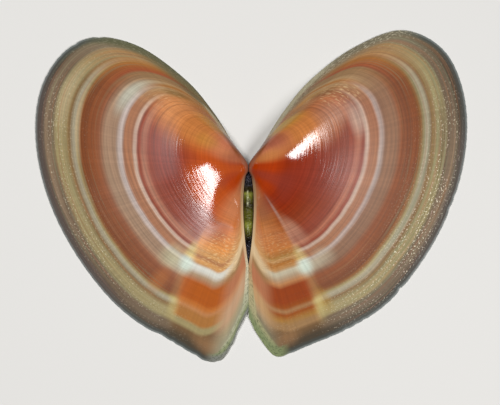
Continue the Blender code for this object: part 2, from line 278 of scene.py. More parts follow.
# Camera: the photograph's frame and the place in it of the point between the beaks
FRAME_PIXELS = (500, 405)
BEAKS_PIXEL = (248.5, 167.0)
PIXEL = 0.1156
CAMERA_DISTANCE = 0.60
SENSOR = 36.0

# Surfaces: how strongly they bend light, and the height of their bumps in metres
SHELL_IOR = 1.5
INSIDE_IOR = 1.6
HORN_IOR = 1.22
LINE_BUMP = 0.000025
GLITTER_BUMP = 0.0001
INSIDE_BUMP = 0.00003
WRINKLE_BUMP = 0.00005

# Bearings: the one that has a share of 1, and how far marked stretches and the slope fade
FULL_BEARING = 150.0
STRETCH_FADE = 14.0
SLOPE_FADE = 3.2

# Floor and light. A softbox has the place it lights, the ways towards and along it, size, power
FLOOR_COLOUR = (0.60, 0.59, 0.57, 1.0)
FLOOR_ROUGHNESS = 0.7
FLOOR_HALF = 0.6
SKY_STRENGTH = 0.105
SOFTBOX_DISTANCE = 0.30
SOFTBOXES = {
    "right_softbox": (
        (-5.0, 1.9, 3.7), (0.47, -0.31, 0.83), (-0.42, 0.75, 0.51), (0.125, 0.052), 0.58,
    ),
    "left_softbox": (
        (6.0, 5.8, 4.3), (-0.32, 0.16, 0.93), (-0.67, -0.73, -0.11), (0.132, 0.055), 0.67,
    ),
}


def shaped(low, high, value):
    """0 below low, 1 above high, and a smooth step between."""
    step = np.clip((value - low) / (high - low), 0.0, 1.0)
    return step * step * (3.0 - 2.0 * step)


def smooth_edge(corners, count):
    """Points at equal steps along the smooth curve through the corners, from the hinge axis."""
    knots = np.array(corners) - (HINGE_TO_AXIS, 0.0)
    knots = np.vstack((2.0 * knots[0] - knots[1], knots, 2.0 * knots[-1] - knots[-2]))
    share = np.linspace(0.0, 1.0, 40, endpoint=False)[:, None]
    square = share ** 2
    cube = share ** 3
    fine = []
    for index in range(1, len(knots) - 2):
        before, start, end, after = knots[index - 1:index + 3]
        fine.append(
            start * (1.0 - 2.5 * square + 1.5 * cube)
            + end * (0.5 * share + 2.0 * square - 1.5 * cube)
            + before * (-0.5 * share + square - 0.5 * cube)
            + after * (-0.5 * square + 0.5 * cube)
        )
    fine = np.vstack(fine + [knots[-2:-1]])
    length = np.concatenate(((0.0,), np.cumsum(np.linalg.norm(np.diff(fine, axis=0), axis=1))))
    even = np.linspace(0.0, length[-1], count)
    points = np.stack([np.interp(even, length, axis) for axis in fine.T], 1)
    return evened(points, length[-1] / count)


def evened(points, step):
    """The same edge with its round open side smoothed and its two corners kept."""
    reach = int(3.0 * EVENING / step)
    weights = np.exp(-(np.arange(-reach, reach + 1) * step / EVENING) ** 2)
    weights /= weights.sum()
    padded = np.vstack((points[:1].repeat(reach, 0), points, points[-1:].repeat(reach, 0)))
    smooth = np.stack([np.convolve(padded[:, axis], weights, "valid") for axis in (0, 1)], 1)
    bearing = np.degrees(np.arctan2(points[:, 0], -points[:, 1]))
    share = shaped(16.0, 28.0, bearing) * (1.0 - shaped(122.0, 134.0, bearing))
    return points + (smooth - points) * share[:, None]


def lens_share(forward):
    """How wide the gap behind the beaks is at a place along the hinge, from 0 to 1."""
    along = np.clip((-forward - LENS_START) / (LENS_END - LENS_START), 0.0, 1.0)
    widest = LENS_FRONT_POWER / (LENS_FRONT_POWER + LENS_BACK_POWER)
    most = widest ** LENS_FRONT_POWER * (1.0 - widest) ** LENS_BACK_POWER
    return along ** LENS_FRONT_POWER * (1.0 - along) ** LENS_BACK_POWER / most


def half_gap(forward):
    """Distance from the middle plane to a valve's edge along the hinge."""
    return CLOSED_HALF_GAP + (LENS_HALF_GAP - CLOSED_HALF_GAP) * lens_share(forward)


def growth_relief(share, bearing):
    """Height of the ledges and growth lines at a growth share and bearing."""
    height = np.zeros_like(share)
    for pause in GROWTH_PAUSES:
        ledge = LEDGE_HEIGHT * pause ** 2
        height += np.where(share <= pause, ledge * np.exp((share - pause) / LEDGE_RISE), 0.0)
    draw = np.random.default_rng(SEED)
    for line in range(LINE_COUNT):
        place = FIRST_LINE + (0.99 - FIRST_LINE) * (line + draw.uniform(-0.35, 0.35)) / LINE_COUNT
        strength = LINE_HEIGHT * draw.uniform(0.3, 1.0) * (0.12 + 0.88 * shaped(0.22, 0.42, place))
        pace = draw.uniform(1.0, 4.0)
        sway = 0.6 + 0.4 * np.sin(np.radians(bearing) * pace + draw.uniform(0.0, 6.0))
        width = draw.uniform(0.004, 0.0065)
        height += strength * sway * np.exp(-((share - place) / width) ** 2)
    return height


def missing_growth(bearing, chips):
    """Share of the growth that is missing from the edge: chips and a slight raggedness."""
    ragged = np.sin(bearing * 2.3) + np.sin(bearing * 5.1 + 1.0) + np.sin(bearing * 8.7 + 2.0)
    missing = RAGGED * (1.0 + ragged / 3.0)
    for place, width, depth in chips:
        missing = missing + depth * np.exp(-np.abs((bearing - place) / width) ** 1.5)
    return missing


def dome(edge_points, chips):
    """Places, growth shares and bearings of the outside: one row for each edge point."""
    steps = np.linspace(0.0, 1.0, GROWTH_RINGS + 1) ** RING_SPACING
    bearing = np.degrees(np.arctan2(edge_points[:, 0], -edge_points[:, 1]))
    bearing[-1] = bearing[-2]
    last = 1.0 - missing_growth(bearing, chips)[:, None]
    share = BEAK_SHARE + (last - BEAK_SHARE) * steps[None, :]
    bearing = bearing[:, None].repeat(share.shape[1], 1)
    out_edge = edge_points[:, 0:1]
    ahead = MIDDLE_BEARING - bearing
    reach = share * (1.0 - (DRIFT * ahead + DRIFT_CURVE * ahead ** 2) * (1.0 - share))
    turn = -np.log(reach) / SPIRAL
    out = out_edge * reach * np.cos(turn)
    forward = edge_points[:, 1:2] * reach
    rise = np.maximum(out_edge, 0.0) * reach * np.sin(turn)
    past_beak = np.maximum(forward, 0.0)
    closeness = np.exp(-(out ** 2 + past_beak ** 2) / HINGE_THICKNESS_REACH ** 2)
    rise += EDGE_THICKNESS + (HINGE_THICKNESS - EDGE_THICKNESS) * closeness
    ridge = RIDGE_HEIGHT * np.exp(-((bearing - RIDGE_BEARING) / RIDGE_WIDTH) ** 2)
    ridge = ridge * share ** 2 * np.minimum(1.0, (1.0 - share) * 8.0)
    width = np.clip(out_edge / 3.0, 0.0, 1.0)
    rise += width * (growth_relief(share, bearing) + ridge)
    shift = (half_gap(forward) - HINGE_TO_AXIS) * np.clip(-forward, 0.0, 1.0)
    out = out + shift * np.exp(-np.abs(out) / LENS_FADE)
    return np.stack((out, forward, rise), 2), share, bearing


class Sheet:
    """Points, faces and the natural coordinates of a mesh that is being made."""

    def __init__(self):
        self.points = []
        self.growth = []
        self.bearing = []
        self.faces = []
        self.slots = []

    def add(self, points, growth, bearing):
        """Adds points and returns their numbers, in the shape of growth."""
        first = sum(len(block) for block in self.points)
        self.points.append(np.asarray(points, dtype=float).reshape(-1, 3))
        self.growth.append(np.asarray(growth, dtype=float).ravel())
        self.bearing.append(np.asarray(bearing, dtype=float).ravel())
        return np.arange(first, first + np.size(growth)).reshape(np.shape(growth))

    def join(self, row, other, slot=0, closed=False):
        """Fills between two rows of points of the same length."""
        row = np.asarray(row)
        other = np.asarray(other)
        here = np.arange(len(row) if closed else len(row) - 1)
        there = (here + 1) % len(row)
        quads = np.stack((row[here], row[there], other[there], other[here]), 1)
        for quad in quads.tolist():
            face = list(dict.fromkeys(quad))
            if len(face) > 2:
                self.faces.append(face)
                self.slots.append(slot)

    def fan(self, row, middle, slot=0, closed=False):
        """Fills between a row of points and one point."""
        row = list(row) + ([row[0]] if closed else [])
        for here, there in zip(row, row[1:]):
            self.faces.append([int(here), int(there), int(middle)])
            self.slots.append(slot)

    def rim_distances(self, loop):
        """Distance of every point from the rim, seen from above."""
        rim = np.vstack(self.points)[loop] * (1.0, 1.0, 0.0)
        count = len(rim)
        walls = np.vstack((rim - (0.0, 0.0, 1.0), rim + (0.0, 0.0, 1.0))).tolist()
        quads = [(i, (i + 1) % count, (i + 1) % count + count, i + count) for i in range(count)]
        fence = BVHTree.FromPolygons(walls, quads)
        flat = (np.vstack(self.points) * (1.0, 1.0, 0.0)).tolist()
        return np.array([fence.find_nearest(point)[3] for point in flat])

    def mesh(self, name, side, offset, rim=None):
        """The finished Blender mesh, in the frame and in metres."""
        points = np.vstack(self.points)
        place = np.stack((
            MIDDLE_X + side * (points[:, 0] + offset),
            BEAK_Y + points[:, 1],
            points[:, 2],
        ), 1) * MM
        faces = self.faces if side < 0.0 else [face[::-1] for face in self.faces]
        mesh = bpy.data.meshes.new(name)
        mesh.from_pydata(place.tolist(), [], faces)
        numbers = {"growth": np.concatenate(self.growth), "bearing": np.concatenate(self.bearing)}
        if rim is not None:
            numbers["rim"] = rim
        for label, values in numbers.items():
            layer = mesh.attributes.new(label, "FLOAT", "POINT")
            layer.data.foreach_set("value", values.astype(np.float32))
        mesh.polygons.foreach_set("material_index", np.array(self.slots, dtype=np.int32))
        mesh.validate()
        mesh.shade_smooth()
        mesh.set_sharp_from_angle(angle=math.radians(SHARP_ANGLE))
        return mesh


def add_thing(name, mesh, materials):
    """An object for a finished mesh."""
    for material in materials:
        mesh.materials.append(material)
    thing = bpy.data.objects.new(name, mesh)
    bpy.context.collection.objects.link(thing)
    return thing


def wall_below(outside, out, forward, wall):
    """The highest point below a place on the dome that leaves the wall its thickness."""
    hit = outside.ray_cast(Vector((out, forward, 50.0)), Vector((0.0, 0.0, -1.0)))[0]
    if hit is None:
        return 0.0
    height = hit.z - wall
    for _ in range(12):
        distance = outside.find_nearest(Vector((out, forward, height)))[3]
        if height <= 0.0 or distance >= wall:
            break
        height -= wall - distance + 0.01
    return max(0.0, height)


def socket_depth(points):
    """How deep the sockets are cut into the hinge plate at each point."""
    depth = np.zeros(len(points))
    distance = np.linalg.norm(points[:, :2], axis=1)
    for bearing, start, end in SOCKETS:
        way = np.array((math.sin(math.radians(bearing)), -math.cos(math.radians(bearing))))
        along = points[:, :2] @ way
        off = np.abs(points[:, 0] * way[1] - points[:, 1] * way[0])
        part = shaped(start, start + 0.2, along) * (1.0 - shaped(end - 0.2, end, along))
        part = part * (1.0 - shaped(SOCKET_WIDTH * 0.4, SOCKET_WIDTH, off))
        depth = np.maximum(depth, SOCKET_DEPTH * part * (distance < end + 0.5))
    return depth


def scar_depth(points):
    """How deep the muscle scars are pressed into the inside at each point."""
    depth = np.zeros(len(points))
    for out, forward, out_reach, forward_reach in SCARS:
        off = np.hypot((points[:, 0] - out) / out_reach, (points[:, 1] - forward) / forward_reach)
        depth += SCAR_DEPTH * (1.0 - shaped(0.8, 1.1, off))
    return depth


def add_inside(sheet, outside, loop):
    """The edge, the flat rim with its hinge plate, and the hollow inside."""
    loop_share = np.concatenate(sheet.growth)[loop]
    loop_bearing = np.concatenate(sheet.bearing)[loop]
    bottom_points = np.vstack(sheet.points)[loop] * (1.0, 1.0, 0.0)
    bottom = sheet.add(bottom_points, loop_share, loop_bearing)
    sheet.join(loop, bottom, slot=1, closed=True)

    centre = np.array((DOME_CENTRE[0], DOME_CENTRE[1], 0.0))
    inwards = centre - bottom_points
    inwards /= np.linalg.norm(inwards, axis=1)[:, None]
    near_beak = np.exp(-(np.linalg.norm(bottom_points, axis=1) / PLATE_REACH) ** 2)
    rim = bottom_points + inwards * (RIM_WIDTH + (PLATE_WIDTH - RIM_WIDTH) * near_beak)[:, None]
    rings = []
    for ring in range(1, PLATE_RINGS):
        row = bottom_points + (rim - bottom_points) * ring / PLATE_RINGS
        row[:, 2] = socket_depth(row)
        rings.append((row, loop_share))
    for ring in range(INNER_RINGS):
        reach = 1.0 - (ring / INNER_RINGS) ** 1.6
        row = centre + (rim - centre) * reach
        if ring > 0:
            wall = WALL_MIDDLE + (WALL_NEAR_EDGE - WALL_MIDDLE) * reach ** 3
            walls = wall - scar_depth(row)
            row[:, 2] = [wall_below(outside, x, y, w) for (x, y, _), w in zip(row, walls)]
        rings.append((row, loop_share * reach))
    previous = bottom
    for row, share in rings:
        current = sheet.add(row, share, loop_bearing)
        sheet.join(previous, current, slot=1, closed=True)
        previous = current
    centre[2] = wall_below(outside, centre[0], centre[1], WALL_MIDDLE)
    middle = sheet.add(centre, [0.4], [MIDDLE_BEARING])[0]
    sheet.fan(previous, middle, slot=1, closed=True)


def valve(name, corners, chips, side, materials):
    """One valve: its outside, its edge, its flat rim and its hollow inside."""
    places, share, bearing = dome(smooth_edge(corners, EDGE_POINTS), chips)
    sheet = Sheet()
    numbers = sheet.add(places[:-1], share[:-1], bearing[:-1])
    beak_end = sheet.add(places[-1, -1], [0.5], bearing[-1, -1:])[0]
    for row, next_row in zip(numbers, numbers[1:]):
        sheet.join(next_row, row)
    sheet.fan(numbers[-1][::-1], beak_end)
    tip_place = (places[0, 0] + places[-1, -1] + 2.0 * places[len(places) // 2, 0]) / 4.0
    tip = sheet.add(tip_place, [BEAK_SHARE], [90.0])[0]
    tip_ring = list(numbers[:, 0]) + [beak_end]
    sheet.fan(tip_ring[::-1], tip, closed=True)
    outside = BVHTree.FromPolygons(np.vstack(sheet.points).tolist(), sheet.faces)
    loop = np.concatenate((numbers[0][:-1], numbers[:, -1], (beak_end,)))
    add_inside(sheet, outside, loop)
    mesh = sheet.mesh(name, side, HINGE_TO_AXIS, sheet.rim_distances(loop))
    return add_thing(name, mesh, materials)


def linear(name):
    """A named colour as Blender wants it."""
    channels = [value / 255.0 for value in COLOURS[name]]
    return (*(((c + 0.055) / 1.055) ** 2.4 if c > 0.04 else c / 12.92 for c in channels), 1.0)


class Paint:
    """A node material in the making."""

    def __init__(self, name):
        self.material = bpy.data.materials.new(name)
        self.material.use_nodes = True
        self.tree = self.material.node_tree
        self.shader = self.tree.nodes["Principled BSDF"]

    def put(self, socket, value):
        """Sets a socket to a constant or links it to another socket."""
        if isinstance(value, bpy.types.NodeSocket):
            self.tree.links.new(value, socket)
        else:
            socket.default_value = value

    def node(self, kind, inputs=(), **settings):
        """Adds a node with its settings and its inputs by name or number."""
        made = self.tree.nodes.new("ShaderNode" + kind)
        for name, value in settings.items():
            setattr(made, name, value)
        for name, value in dict(inputs).items():
            self.put(made.inputs[name], value)
        return made

    def attribute(self, name):
        """A number that the mesh carries."""
        return self.node("Attribute", attribute_name=name).outputs["Fac"]

    def math(self, operation, first, second=0.0, third=0.0):
        """One sum."""
        inputs = {0: first, 1: second, 2: third}
        return self.node("Math", inputs, operation=operation).outputs[0]

    def between(self, value, low, high, top=1.0):
        """0 below low and top above high, smooth between; reversed where low is above high."""
        first, last = (top, 0.0) if low > high else (0.0, top)
        inputs = {
            "Value": value, "From Min": min(low, high), "From Max": max(low, high),
            "To Min": first, "To Max": last,
        }
        return self.node("MapRange", inputs, interpolation_type="SMOOTHSTEP").outputs["Result"]

    def vector(self, x, y=0.0, z=0.0):
        """A place made from three numbers."""
        return self.node("CombineXYZ", {0: x, 1: y, 2: z}).outputs[0]

    def noise(self, place, scale, detail=2.0, rough=0.5):
        """Smooth noise around a half."""
        inputs = {"Vector": place, "Scale": scale, "Detail": detail, "Roughness": rough}
        return self.node("TexNoise", inputs).outputs["Fac"]

    def times(self, first, *others):
        """The product of several values."""
        for other in others:
            first = self.math("MULTIPLY", first, other)
        return first

    def swaying(self, value, other, other_scale, seed, scale, reach, detail=2.0):
        """A value that sways a little, within a reach, with its place."""
        place = self.vector(self.times(other, other_scale), value, seed)
        start = self.math("SUBTRACT", value, reach / 2.0)
        return self.math("MULTIPLY_ADD", self.noise(place, scale, detail), reach, start)

    def stretched(self, first, first_scale, second, second_scale, seed, detail, rough=0.5):
        """Noise with its own scale along each of two values."""
        place = self.vector(self.times(first, first_scale), self.times(second, second_scale), seed)
        return self.noise(place, 1.0, detail, rough)

    def stops(self, value, colours):
        """Colours at given shares along a value."""
        made = self.node("ValToRGB", {0: value})
        elements = made.color_ramp.elements
        while len(elements) < len(colours):
            elements.new(0.5)
        for element, (share, _) in zip(elements, colours):
            element.position = share
        for element, (_, colour) in zip(elements, colours):
            element.color = colour
        return made.outputs["Color"]

    def ramp(self, value, bands):
        """Bands of named colours along a value."""
        stops = [(place, linear(name)) for name, *places in bands for place in places]
        return self.stops(value, stops)

    def levels(self, value, stops):
        """A number that follows a few stops along a value."""
        greys = [(share, (level, level, level, 1.0)) for share, level in stops]
        return self.node("RGBToBW", {0: self.stops(value, greys)}).outputs[0]

    def mix(self, share, first, second, blend="MIX"):
        """One colour laid over another; a colour may be given by its name."""
        made = self.node("Mix", data_type="RGBA", blend_type=blend)
        self.put(made.inputs["Factor"], share)
        self.put(made.inputs[6], first)
        self.put(made.inputs[7], linear(second) if isinstance(second, str) else second)
        return made.outputs[2]

    def laid(self, colour, *layers):
        """A colour with others laid over it, each given with the shares that limit it."""
        for over, *shares in layers:
            colour = self.mix(self.times(*shares), colour, over)
        return colour

    def bump(self, height, distance, normal=None):
        """Fine relief, as high as distance in metres."""
        inputs = {"Height": height, "Distance": distance, "Strength": 1.0}
        if normal is not None:
            inputs["Normal"] = normal
        return self.node("Bump", inputs).outputs["Normal"]

    def finish(self, colour, roughness, normal, ior):
        """Joins the parts to the shader."""
        parts = {"Base Color": colour, "Roughness": roughness, "Normal": normal, "IOR": ior}
        for name, value in parts.items():
            self.put(self.shader.inputs[name], value)
        return self.material


class Coat(Paint):
    """The outside of a valve in the making, with the numbers that its markings follow."""

    def __init__(self, name, look):
        super().__init__(name)
        self.look = look
        seed = look["seed"]
        growth = self.growth = self.attribute("growth")
        turn = self.turn = self.attribute("bearing")
        self.rim = self.attribute("rim")
        self.wandered = self.swaying(growth, turn, 0.05, seed, 2.0, 0.008, 1.0)
        bend_start, bend = look["bend"]
        self.bent = self.math("ADD", self.wandered, self.where(turn=(bend_start, 4, bend)))
        leaning = self.math("MULTIPLY_ADD", growth, look["ray_lean"], turn)
        self.from_ray = self.math("SUBTRACT", leaning, look["ray"])
        self.lines = self.stretched(growth, 105.0, turn, 0.014, seed, 3.0, 0.7)
        self.grain = self.stretched(growth, 170.0, turn, 1.5, seed, 1.0)
        self.crowd = self.stretched(growth, 48.0, turn, 0.07, seed, 2.0)
        self.turned = self.math("DIVIDE", turn, FULL_BEARING)
        self.lined = self.line_strength()
        self.glitter = self.glitter_strength()

    def where(self, **limits):
        """The product of smooth steps, each along the number that it is named after."""
        steps = [self.between(getattr(self, name), *step) for name, step in limits.items()]
        return self.times(*steps)

    def within(self, first, last):
        """1 between two bearings, fading just inside them."""
        rising = self.where(turn=(first, first + STRETCH_FADE))
        return self.times(rising, self.where(turn=(last, last - STRETCH_FADE)))

    def line_strength(self):
        """How strongly the growth lines show: weakly by the hinge and near the beak."""
        smooth = self.where(turn=(50, 26, 0.7), growth=(0.57, 0.66))
        return self.times(
            self.levels(self.turned, ((0.05, 0.5), (0.12, 0.8), (0.25, 1.0))),
            self.math("SUBTRACT", 1.0, smooth),
            self.levels(self.growth, ((0.0, 0.3), (0.24, 0.4), (0.36, 0.9), (0.45, 1.0))),
        )

    def glitter_strength(self):
        """How thickly the glitter lies: in crowds, near the edge, more on some bearings."""
        outer = ((0.7, 0.0), (0.8, 0.2), (0.84, 0.5), (0.88, 1.0), (0.97, 0.8))
        return self.times(
            self.levels(self.growth, outer),
            self.levels(self.turned, self.look["glitter"]),
            self.where(crowd=(0.38, 0.56)),
        )


def band_colours(coat):
    """The bands of the flank, those of the back behind the ray, and those of the front."""
    look = coat.look
    shift = coat.times(
        coat.where(turn=(78, 110, look["shift"])),
        coat.levels(coat.growth, ((0.6, 1.0), (0.8, 0.6), (0.9, 0.0))),
    )
    bulge = coat.times(coat.within(*look["bulge"]), coat.where(growth=(0.7, 0.86, 0.009)))
    shifted = coat.math("SUBTRACT", coat.math("ADD", coat.wandered, shift), bulge)
    colour = coat.ramp(shifted, look["flank"])
    behind = coat.where(from_ray=(0.8, -2.2))
    broader = coat.math("SUBTRACT", coat.where(from_ray=(10, -20)), behind)
    behind = coat.math("MULTIPLY_ADD", coat.where(growth=(0.5, 0.36)), broader, behind)
    forward = coat.math("ADD", coat.turn, coat.where(growth=(0.56, 0.36, 18)))
    return coat.laid(
        colour,
        (coat.ramp(coat.bent, look["back"]), behind),
        (coat.ramp(coat.wandered, FRONT), coat.between(forward, 116, 136)),
    )


def add_smudges(coat, colour):
    """Soft patches of colour, each round a growth share and a bearing."""
    for growth, bearing, growth_reach, turn_reach, name, strength in coat.look["smudges"]:
        across = coat.math("DIVIDE", coat.math("SUBTRACT", coat.growth, growth), growth_reach)
        around = coat.math("DIVIDE", coat.math("SUBTRACT", coat.turn, bearing), turn_reach)
        off = coat.node("VectorMath", {0: coat.vector(across, around)}, operation="LENGTH")
        share = coat.between(off.outputs["Value"], 1.0, 0.15, strength)
        colour = coat.mix(share, colour, name)
    return colour


def add_clouds(coat, colour):
    """Faint mauve clouds over the older shell."""
    cloud = coat.stretched(coat.turn, 0.035, coat.growth, 6.0, coat.look["seed"], 0.0)
    mauve = coat.times(coat.between(cloud, 0.45, 0.75, 0.45), coat.where(growth=(0.66, 0.5)))
    return coat.mix(mauve, colour, "mauve")


def add_slope(coat, colour):
    """The slope beside the hinge, with bands of its own."""
    look = coat.look
    sloping = coat.math("ADD", coat.turn, coat.where(growth=(0.6, 0.82, look["slope_in"])))
    slope = coat.between(sloping, look["slope"] + SLOPE_FADE, look["slope"] - SLOPE_FADE)
    return coat.mix(slope, colour, coat.ramp(coat.bent, look["slope_colours"]))


def add_ray(coat, colour):
    """The pale ray that runs from the beak across the bands."""
    off_ray = coat.times(coat.math("ABSOLUTE", coat.from_ray), coat.growth)
    broad = coat.levels(coat.growth, (
        (0.25, 0.4), (0.36, 0.6), (0.5, 0.9), (0.57, 1.6), (0.63, 2.2), (0.7, 1.5), (1.0, 1.5),
    ))
    ray = coat.between(coat.math("DIVIDE", off_ray, broad), 1.7, 0.1, 0.8)
    ray = coat.times(ray, coat.levels(coat.growth, coat.look["ray_levels"]))
    return coat.mix(ray, colour, coat.ramp(coat.growth, RAY))


def add_lines(coat, colour):
    """The shade of the growth lines and fine rays, and the rust and green lines further out."""
    seed = coat.look["seed"]
    rays = coat.stretched(coat.turn, 0.9, coat.growth, 1.0, seed, 3.0)
    shade = coat.times(coat.math("SUBTRACT", coat.lines, 0.5), 1.27)
    shade = coat.math("MULTIPLY_ADD", shade, coat.lined, 1.0)
    shade = coat.times(shade, coat.levels(rays, ((0.3, 0.92), (0.7, 1.08))))
    tint = coat.stretched(coat.growth, 75.0, coat.turn, 0.02, seed + 4.0, 2.0)
    outward = coat.where(growth=(0.62, 0.86), turn=(22, 54))
    return coat.laid(
        coat.mix(1.0, colour, shade, "MULTIPLY"),
        ("rust_line", coat.between(tint, 0.54, 0.68, 0.36), outward),
        ("green_line", coat.between(tint, 0.46, 0.32, 0.36), outward),
    )


def add_glints(coat, colour):
    """Painted highlights: bright glint streaks at the front and back of the older shell, and glint
    specks near the edge.
    """
    look = coat.look
    glint_streak = coat.stretched(coat.growth, 210.0, coat.turn, 0.36, look["seed"] + 2.0, 1.0)
    forward = coat.times(
        coat.where(turn=(119, 127, look["front_glitter"])),
        coat.where(turn=(141, 134), growth=(0.42, 0.5)),
    )
    backward = coat.where(turn=(36, 24, look["back_glitter"]), growth=(0.38, 0.44))
    inner = coat.times(coat.math("MAXIMUM", backward, forward), coat.where(growth=(0.63, 0.57)))
    painted_glints = coat.mix(coat.where(crowd=(0.42, 0.56)), linear("pink_glint"), "cream_glint")
    # Painted highlights: straw glint streaks, and pink and cream glint specks where the glitter
    # lies
    return coat.laid(
        colour,
        ("straw_glint", coat.between(glint_streak, 0.54, 0.66, 0.5), inner),
        (painted_glints, coat.where(grain=(0.6, 0.68, 0.8)), coat.glitter),
    )


def add_open_rim(coat, colour):
    """The grey edge of the open side, its plum stretch, and the thin light line on it."""
    open_side = coat.times(
        coat.where(turn=(8, 14)), coat.where(turn=(146, 126), growth=(0.5, 0.8))
    )
    first, last, strength = coat.look["deep_edge"]
    return coat.laid(
        colour,
        ("edge_grey", coat.where(rim=(0.72, 0.32, 0.85)), open_side),
        ("edge_plum", coat.within(first, last), coat.where(rim=(1.25, 0.7, strength)), open_side),
        ("edge_light", coat.where(rim=(0.3, 0.06, 0.7)), open_side),
    )


def add_front_rim(coat, colour):
    """The mossy front margin with its painted sparkles of light, its light line, and the brown by
    the beak.
    """
    look = coat.look
    front = coat.where(turn=(126, 134), growth=look["front_growth"])
    dorsal = coat.where(rim=(0.58, 0.3, 0.75), turn=look["dorsal_turn"], growth=(0.24, 0.36))
    return coat.laid(
        colour,
        (look["front_strip"], coat.where(rim=(1.3, 0.5, 0.75)), front),
        ("dorsal_light", dorsal, coat.where(growth=look["dorsal_end"])),
        # Painted highlights: cream sparkles along the front margin
        ("cream_glint", front, coat.where(rim=(1.0, 0.5), grain=(0.56, 0.66, look["sparkle"]))),
        ("rim_brown", coat.where(rim=(0.56, 0.22, 0.8), turn=(110, 130), growth=(0.34, 0.22))),
    )


def add_hinge_rim(coat, colour):
    """The spotted green strip by the hinge, the cream line beside the gap, and the rosy beak."""
    look = coat.look
    reach = coat.times(coat.rim, coat.levels(coat.growth, look["strip"]))
    beside = coat.where(turn=(13, 9), growth=(0.6, 0.7))
    strip = coat.times(coat.between(reach, 1.0, 0.7, 0.85), beside)
    return coat.laid(
        colour,
        (coat.ramp(coat.growth, look["strip_colours"]), strip),
        ("fir", coat.where(grain=(0.52, 0.64, 0.75)), strip),
        ("cream", coat.where(rim=(0.42, 0.16, 0.8), turn=(60, 20), growth=(0.7, 0.6))),
        ("rose", coat.where(rim=(0.35, 0.05, 0.8), growth=(0.12, 0.06))),
    )


def shell_roughness(coat):
    """Glossy near the beak, duller further out, and bright again on the glitter."""
    rough = coat.levels(coat.growth, (
        (0.0, 0.08), (0.28, 0.08), (0.34, 0.14), (0.4, 0.26), (0.46, 0.38), (0.54, 0.5),
        (0.62, 0.6), (0.72, 0.66),
    ))
    hinge_side = coat.where(turn=(34, 22, 0.3))
    dull = coat.math("MAXIMUM", hinge_side, coat.where(turn=(78, 90, coat.look["dull"])))
    rough = coat.math("ADD", rough, coat.times(dull, coat.where(growth=(0.32, 0.4))))
    rough = coat.math("MULTIPLY_ADD", coat.lines, 0.06, coat.math("SUBTRACT", rough, 0.03))
    facets = coat.times(coat.where(grain=(0.5, 0.6)), coat.glitter)
    return coat.math("MULTIPLY_ADD", facets, -0.4, rough)


def shell_bumps(coat):
    """Bumps for the growth lines, and for the glitter on top of them."""
    relief = coat.levels(
        coat.growth, ((0.0, 0.1), (0.1, 0.3), (0.2, 0.6), (0.36, 1.4), (0.45, 1.0))
    )
    relief = coat.times(relief, coat.lined)
    normal = coat.bump(coat.times(coat.lines, relief), LINE_BUMP)
    return coat.bump(coat.times(coat.grain, coat.glitter), GLITTER_BUMP, normal)


def shell_material(name, look):
    """The outside of a valve: its bands, then each layer of markings laid over them."""
    coat = Coat(name, look)
    colour = band_colours(coat)
    for layer in (
        add_smudges, add_clouds, add_slope, add_ray, add_lines, add_glints,
        add_open_rim, add_front_rim, add_hinge_rim,
    ):
        colour = layer(coat, colour)
    return coat.finish(colour, shell_roughness(coat), shell_bumps(coat), SHELL_IOR)


def inside_material(name):
    """The inside and the edge of a valve: smooth, pale, and rosy towards the middle."""
    paint = Paint(name)
    growth = paint.attribute("growth")
    turn = paint.attribute("bearing")
    colour = paint.ramp(paint.swaying(growth, turn, 0.05, 5.0, 3.0, 0.06), INSIDE)
    streaks = paint.stretched(turn, 0.6, growth, 1.0, 2.0, 3.0)
    shade = paint.levels(streaks, ((0.3, 0.93), (0.7, 1.05)))
    colour = paint.mix(1.0, colour, shade, "MULTIPLY")
    normal = paint.bump(streaks, INSIDE_BUMP)
    return paint.finish(colour, 0.18, normal, INSIDE_IOR)


def ligament_material():
    """Olive horn across the middle, blackish at both ends, wrinkled crosswise, with painted shade
    along its sides and painted glints on its top.
    """
    paint = Paint("ligament_horn")
    along = paint.attribute("growth")
    around = paint.attribute("bearing")
    colour = paint.ramp(paint.swaying(along, around, 0.02, 4.0, 6.0, 0.03), HORN)
    wrinkles = paint.stretched(along, 75.0, around, 0.03, 7.0, 3.0, 0.7)
    shade = paint.levels(wrinkles, ((0.3, 0.4), (0.5, 1.0), (0.72, 1.6)))
    colour = paint.mix(1.0, colour, shade, "MULTIPLY")
    # Painted shade: the sides of the band are laid over with black, more on the right side, away
    # from the light
    off_top = paint.math("ABSOLUTE", paint.math("SUBTRACT", around, 98.0))
    colour = paint.mix(paint.between(off_top, 30, 75, 0.75), colour, "jet")
    grain = paint.stretched(along, 95.0, around, 0.14, 3.0, 1.0)
    ends = paint.levels(along, ((0.14, 1.0), (0.18, 0.0), (0.77, 0.0), (0.8, 1.0)))
    # Painted highlights: pale mint glints along the top of the band
    painted_glints = paint.levels(along, (
        (0.19, 0.0), (0.225, 0.9), (0.25, 0.2), (0.285, 1.0), (0.31, 0.2), (0.345, 0.9),
        (0.38, 0.0), (0.56, 0.0), (0.6, 0.6), (0.66, 0.0),
    ))
    colour = paint.laid(
        colour,
        ("grey_speck", paint.between(grain, 0.63, 0.69, 0.9), ends),
        ("mint", painted_glints, paint.between(off_top, 16, 5), paint.between(grain, 0.42, 0.56)),
    )
    normal = paint.bump(wrinkles, WRINKLE_BUMP)
    rough = paint.math("MULTIPLY_ADD", ends, 0.55, 0.15)
    return paint.finish(colour, rough, normal, HORN_IOR)


def ligament_top(along):
    """Height of the ligament's back along its length, with its wrinkles."""
    hump = shaped(0.12, 0.26, along) * (1.0 - shaped(0.68, 0.84, along))
    draw = np.random.default_rng(SEED)
    wrinkles = 0.0
    for wrinkle in range(WRINKLE_COUNT):
        place = 0.16 + 0.66 * (wrinkle + draw.uniform(-0.25, 0.25)) / WRINKLE_COUNT
        wrinkles -= draw.uniform(0.4, 1.0) * math.exp(-((along - place) / WRINKLE_WIDTH) ** 2)
    top = LIGAMENT_END_TOP + (LIGAMENT_TOP - LIGAMENT_END_TOP) * hump
    return top + WRINKLE_HEIGHT * wrinkles


